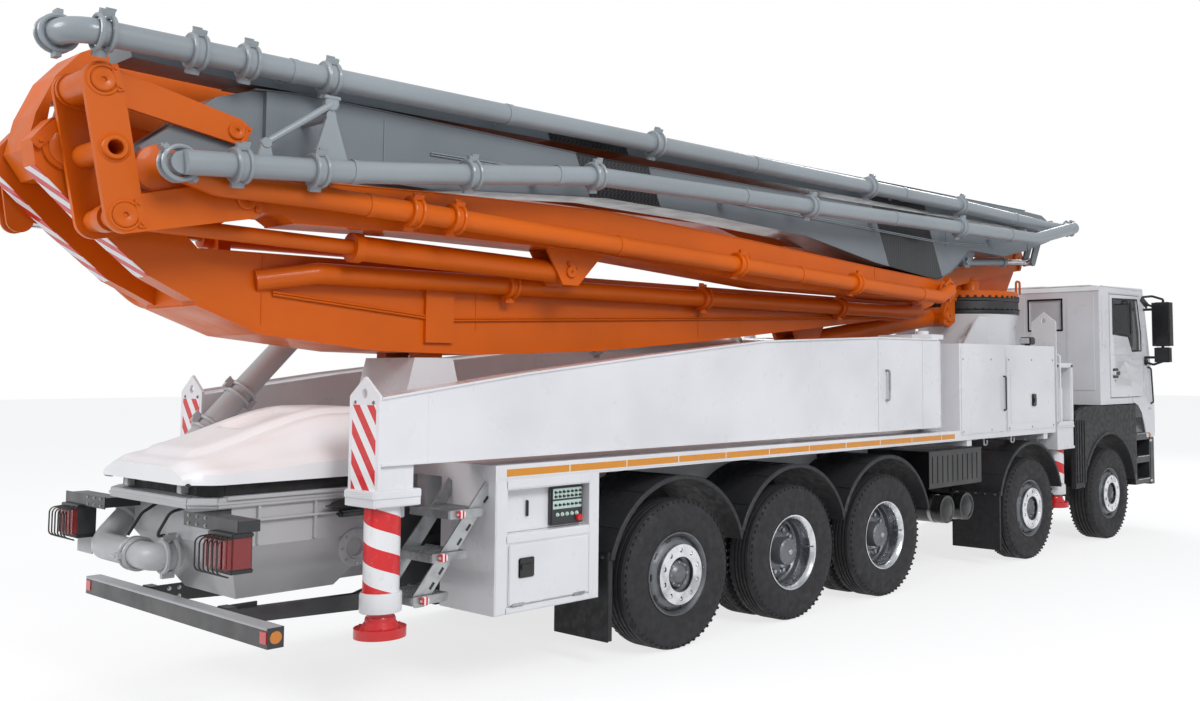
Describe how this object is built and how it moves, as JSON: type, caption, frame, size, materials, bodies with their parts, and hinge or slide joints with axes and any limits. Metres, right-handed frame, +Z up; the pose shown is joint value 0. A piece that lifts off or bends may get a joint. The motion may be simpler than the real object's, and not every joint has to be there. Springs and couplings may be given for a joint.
{
  "type": "concrete pump truck",
  "caption": "Truck-mounted concrete pump: heavy chassis with folded delivery boom, slewing turret, swing-out and sliding outriggers, rear hopper with lid and boom pipeline.",
  "frame": {"origin": "on the ground, under the middle of the whole machine with its boom folded", "axes": "+X forwards, +Y to the left, +Z up"},
  "size_m": [12.7298, 3.12, 3.8],
  "materials": {
    "white": "gloss",
    "orange": "gloss",
    "boom_grey": "semi-gloss",
    "charcoal": "satin",
    "black_plastic": "matte",
    "steel": "satin",
    "chrome_rod": "polished",
    "tyre": "matte",
    "glass": "gloss",
    "aluminium": "satin",
    "hopper_grey": "satin",
    "cast": "rough"
  },
  "bodies": {
    "truck": {"axle_beams": "cast", "chassis_frame": "charcoal", "engine_block": "cast", "side_tanks": "charcoal", "superstructure": "white", "front_boxes": "white", "rear_cabinets": "white", "access_steps": "aluminium", "mudguards": "black_plastic", "hopper": "hopper_grey", "delivery_line": "charcoal", "rear_guard": "charcoal", "cab_shell": "white", "cab_glass": "glass", "cab_interior": "black_plastic", "cab_bumper": "charcoal", "mirrors": "black_plastic"},
    "wheel_1_right": {"wheel_1_right": "tyre"},
    "wheel_1_left": {"wheel_1_left": "tyre"},
    "wheel_2_right": {"wheel_2_right": "tyre"},
    "wheel_2_left": {"wheel_2_left": "tyre"},
    "wheel_3_right": {"wheel_3_right": "tyre"},
    "wheel_3_left": {"wheel_3_left": "tyre"},
    "wheel_4_right": {"wheel_4_right": "tyre"},
    "wheel_4_left": {"wheel_4_left": "tyre"},
    "wheel_5_right": {"wheel_5_right": "tyre"},
    "wheel_5_left": {"wheel_5_left": "tyre"},
    "knuckle_1_right": {"knuckle_1_right": "cast"},
    "knuckle_1_left": {"knuckle_1_left": "cast"},
    "knuckle_2_right": {"knuckle_2_right": "cast"},
    "knuckle_2_left": {"knuckle_2_left": "cast"},
    "knuckle_5_right": {"knuckle_5_right": "cast"},
    "knuckle_5_left": {"knuckle_5_left": "cast"},
    "hopper_lid": {"hopper_lid": "white"},
    "door_right": {"door_right": "white"},
    "door_left": {"door_left": "white"},
    "rear_outrigger_right": {"rear_outrigger_right": "white"},
    "rear_outrigger_left": {"rear_outrigger_left": "white"},
    "rear_jack_right": {"rear_jack_right": "white"},
    "rear_jack_left": {"rear_jack_left": "white"},
    "front_outrigger_right": {"front_outrigger_right": "white"},
    "front_outrigger_left": {"front_outrigger_left": "white"},
    "front_jack_right": {"front_jack_right": "white"},
    "front_jack_left": {"front_jack_left": "white"},
    "turret": {"turret": "orange"},
    "lift_cylinder": {"lift_cylinder": "charcoal"},
    "lift_rod": {"lift_rod": "chrome_rod"},
    "boom_section_1": {"boom_section_1": "orange"},
    "boom_section_2": {"boom_section_2": "orange"},
    "boom_section_3": {"boom_section_3": "orange"},
    "knuckle_rod_2": {"knuckle_rod_2": "chrome_rod"},
    "knuckle_rod_3": {"knuckle_rod_3": "chrome_rod"},
    "knuckle_rod_4": {"knuckle_rod_4": "chrome_rod"},
    "knuckle_rod_5": {"knuckle_rod_5": "chrome_rod"},
    "knuckle_lever": {"knuckle_lever": "charcoal"},
    "knuckle_link": {"knuckle_link": "charcoal"},
    "boom_section_4": {"boom_section_4": "boom_grey", "boom_pipe_4": "steel"},
    "boom_section_5": {"boom_section_5": "boom_grey", "boom_pipe_5": "steel"}
  },
  "joints": [
    {"name": "steer_1_left", "type": "hinge", "parent": "truck", "child": "knuckle_1_left", "pos_m": [4.865, 0.85, 0.525], "axis": [0, 0, 1], "range_deg": [-36, 36]},
    {"name": "steer_1_right", "type": "hinge", "parent": "truck", "child": "knuckle_1_right", "pos_m": [4.865, -0.85, 0.525], "axis": [0, 0, 1], "range_deg": [-36, 36]},
    {"name": "steer_2_left", "type": "hinge", "parent": "truck", "child": "knuckle_2_left", "pos_m": [2.905, 0.85, 0.525], "axis": [0, 0, 1], "range_deg": [-26, 26]},
    {"name": "steer_2_right", "type": "hinge", "parent": "truck", "child": "knuckle_2_right", "pos_m": [2.905, -0.85, 0.525], "axis": [0, 0, 1], "range_deg": [-26, 26]},
    {"name": "steer_5_left", "type": "hinge", "parent": "truck", "child": "knuckle_5_left", "pos_m": [-2.335, 0.85, 0.525], "axis": [0, 0, 1], "range_deg": [-18, 18]},
    {"name": "steer_5_right", "type": "hinge", "parent": "truck", "child": "knuckle_5_right", "pos_m": [-2.335, -0.85, 0.525], "axis": [0, 0, 1], "range_deg": [-18, 18]},
    {"name": "wheel_1_left_spin", "type": "hinge", "parent": "knuckle_1_left", "child": "wheel_1_left", "pos_m": [4.865, 1.085, 0.525], "axis": [0, 1, 0], "continuous": true},
    {"name": "wheel_1_right_spin", "type": "hinge", "parent": "knuckle_1_right", "child": "wheel_1_right", "pos_m": [4.865, -1.085, 0.525], "axis": [0, 1, 0], "continuous": true},
    {"name": "wheel_2_left_spin", "type": "hinge", "parent": "knuckle_2_left", "child": "wheel_2_left", "pos_m": [2.905, 1.085, 0.525], "axis": [0, 1, 0], "continuous": true},
    {"name": "wheel_2_right_spin", "type": "hinge", "parent": "knuckle_2_right", "child": "wheel_2_right", "pos_m": [2.905, -1.085, 0.525], "axis": [0, 1, 0], "continuous": true},
    {"name": "wheel_3_left_spin", "type": "hinge", "parent": "truck", "child": "wheel_3_left", "pos_m": [0.245, 0.953, 0.525], "axis": [0, 1, 0], "continuous": true},
    {"name": "wheel_3_right_spin", "type": "hinge", "parent": "truck", "child": "wheel_3_right", "pos_m": [0.245, -0.953, 0.525], "axis": [0, 1, 0], "continuous": true},
    {"name": "wheel_4_left_spin", "type": "hinge", "parent": "truck", "child": "wheel_4_left", "pos_m": [-1.035, 0.953, 0.525], "axis": [0, 1, 0], "continuous": true},
    {"name": "wheel_4_right_spin", "type": "hinge", "parent": "truck", "child": "wheel_4_right", "pos_m": [-1.035, -0.953, 0.525], "axis": [0, 1, 0], "continuous": true},
    {"name": "wheel_5_left_spin", "type": "hinge", "parent": "knuckle_5_left", "child": "wheel_5_left", "pos_m": [-2.335, 1.085, 0.525], "axis": [0, 1, 0], "continuous": true},
    {"name": "wheel_5_right_spin", "type": "hinge", "parent": "knuckle_5_right", "child": "wheel_5_right", "pos_m": [-2.335, -1.085, 0.525], "axis": [0, 1, 0], "continuous": true},
    {"name": "door_right_hinge", "type": "hinge", "parent": "truck", "child": "door_right", "pos_m": [5.971, -1.205, 2.05], "axis": [0, 0, 1], "range_deg": [0, 70]},
    {"name": "door_left_hinge", "type": "hinge", "parent": "truck", "child": "door_left", "pos_m": [5.971, 1.205, 2.05], "axis": [0, 0, -1], "range_deg": [0, 70]},
    {"name": "lid_hinge", "type": "hinge", "parent": "truck", "child": "hopper_lid", "pos_m": [-4.3, 0, 1.315], "axis": [0, 1, 0], "range_deg": [0, 40]},
    {"name": "rear_arm_right_swing", "type": "hinge", "parent": "truck", "child": "rear_outrigger_right", "pos_m": [1.085, -1.08, 1.835], "axis": [0, 0, 1], "range_deg": [0, 60]},
    {"name": "rear_jack_right_slide", "type": "slide", "parent": "rear_outrigger_right", "child": "rear_jack_right", "axis": [0, 0, -1], "range_m": [0, 0.6]},
    {"name": "front_beam_right_slide", "type": "slide", "parent": "truck", "child": "front_outrigger_right", "axis": [0, -1, 0], "range_m": [0, 1.45]},
    {"name": "front_jack_right_slide", "type": "slide", "parent": "front_outrigger_right", "child": "front_jack_right", "axis": [0, 0, -1], "range_m": [0, 0.6]},
    {"name": "rear_arm_left_swing", "type": "hinge", "parent": "truck", "child": "rear_outrigger_left", "pos_m": [1.085, 1.08, 1.835], "axis": [0, 0, -1], "range_deg": [0, 60]},
    {"name": "rear_jack_left_slide", "type": "slide", "parent": "rear_outrigger_left", "child": "rear_jack_left", "axis": [0, 0, -1], "range_m": [0, 0.6]},
    {"name": "front_beam_left_slide", "type": "slide", "parent": "truck", "child": "front_outrigger_left", "axis": [0, 1, 0], "range_m": [0, 1.45]},
    {"name": "front_jack_left_slide", "type": "slide", "parent": "front_outrigger_left", "child": "front_jack_left", "axis": [0, 0, -1], "range_m": [0, 0.6]},
    {"name": "turret_slew", "type": "hinge", "parent": "truck", "child": "turret", "pos_m": [3.715, 0, 2.735], "axis": [0, 0, 1], "range_deg": [-185, 185]},
    {"name": "boom_lift", "type": "hinge", "parent": "turret", "child": "boom_section_1", "pos_m": [4.365, 0, 3.3], "axis": [0, 1, 0], "range_deg": [0, 85]},
    {"name": "lift_cylinder_swing", "type": "hinge", "parent": "turret", "child": "lift_cylinder", "pos_m": [2.975, 0, 2.56], "axis": [0, 1, 0], "range_deg": [0, 98]},
    {"name": "lift_rod_slide", "type": "slide", "parent": "lift_cylinder", "child": "lift_rod", "axis": [-0.9903, 0, -0.1389], "range_m": [0, 2.01]},
    {"name": "section_2_fold", "type": "hinge", "parent": "boom_section_1", "child": "boom_section_2", "pos_m": [-6.085, 0, 3.15], "axis": [0, -1, 0], "range_deg": [0, 180]},
    {"name": "section_3_fold", "type": "hinge", "parent": "boom_section_2", "child": "boom_section_3", "pos_m": [1.915, -0.4, 2.774], "axis": [0, 1, 0], "range_deg": [0, 180]},
    {"name": "knuckle_rod_2_slide", "type": "slide", "parent": "boom_section_1", "child": "knuckle_rod_2", "axis": [1, 0, 0], "range_m": [0, 0.3]},
    {"name": "knuckle_rod_3_slide", "type": "slide", "parent": "boom_section_2", "child": "knuckle_rod_3", "axis": [1, 0, 0], "range_m": [0, 0.46]},
    {"name": "section_4_fold", "type": "hinge", "parent": "boom_section_3", "child": "boom_section_4", "pos_m": [-5.785, -0.59, 3.03], "axis": [0, -1, 0], "range_deg": [0, 180]},
    {"name": "knuckle_rod_4_slide", "type": "slide", "parent": "boom_section_3", "child": "knuckle_rod_4", "axis": [0.9995, 0, -0.0311], "range_m": [0, 0.78]},
    {"name": "knuckle_lever_pivot", "type": "hinge", "parent": "boom_section_3", "child": "knuckle_lever", "pos_m": [-5.335, -0.59, 2.91], "axis": [0, -1, 0], "range_deg": [0, 92]},
    {"name": "knuckle_link_pivot", "type": "hinge", "parent": "knuckle_lever", "child": "knuckle_link", "pos_m": [-6.095, -0.59, 3.44], "axis": [0, -1, 0], "range_deg": [0, 39]},
    {"name": "section_5_fold", "type": "hinge", "parent": "boom_section_4", "child": "boom_section_5", "pos_m": [4.415, -0.595, 3.62], "axis": [0, 1, 0], "range_deg": [0, 180]},
    {"name": "knuckle_rod_5_slide", "type": "slide", "parent": "boom_section_4", "child": "knuckle_rod_5", "axis": [0.9975, 0, 0.0704], "range_m": [0, 0.5]}
  ],
  "couplings": [
    {"joint": "steer_1_right", "follows": "steer_1_left", "ratio": 1},
    {"joint": "steer_2_left", "follows": "steer_1_left", "ratio": 0.72},
    {"joint": "steer_2_right", "follows": "steer_1_left", "ratio": 0.72},
    {"joint": "steer_5_left", "follows": "steer_1_left", "ratio": -0.5},
    {"joint": "steer_5_right", "follows": "steer_1_left", "ratio": -0.5},
    {"joint": "turret_slew", "follows": "boom_lift", "ratio": 2.1},
    {"joint": "lift_cylinder_swing", "follows": "boom_lift", "ratio": 1.1488},
    {"joint": "lift_rod_slide", "follows": "boom_lift", "m_per_rad": 1.346},
    {"joint": "section_3_fold", "follows": "section_2_fold", "ratio": 1},
    {"joint": "knuckle_rod_2_slide", "follows": "section_2_fold", "m_per_rad": 0.095493},
    {"joint": "knuckle_rod_3_slide", "follows": "section_2_fold", "m_per_rad": 0.14642},
    {"joint": "knuckle_rod_4_slide", "follows": "section_4_fold", "m_per_rad": 0.24828},
    {"joint": "knuckle_lever_pivot", "follows": "section_4_fold", "ratio": 0.511},
    {"joint": "knuckle_link_pivot", "follows": "section_4_fold", "ratio": 0.215},
    {"joint": "section_5_fold", "follows": "section_4_fold", "ratio": 1},
    {"joint": "knuckle_rod_5_slide", "follows": "section_4_fold", "m_per_rad": 0.15915}
  ]
}
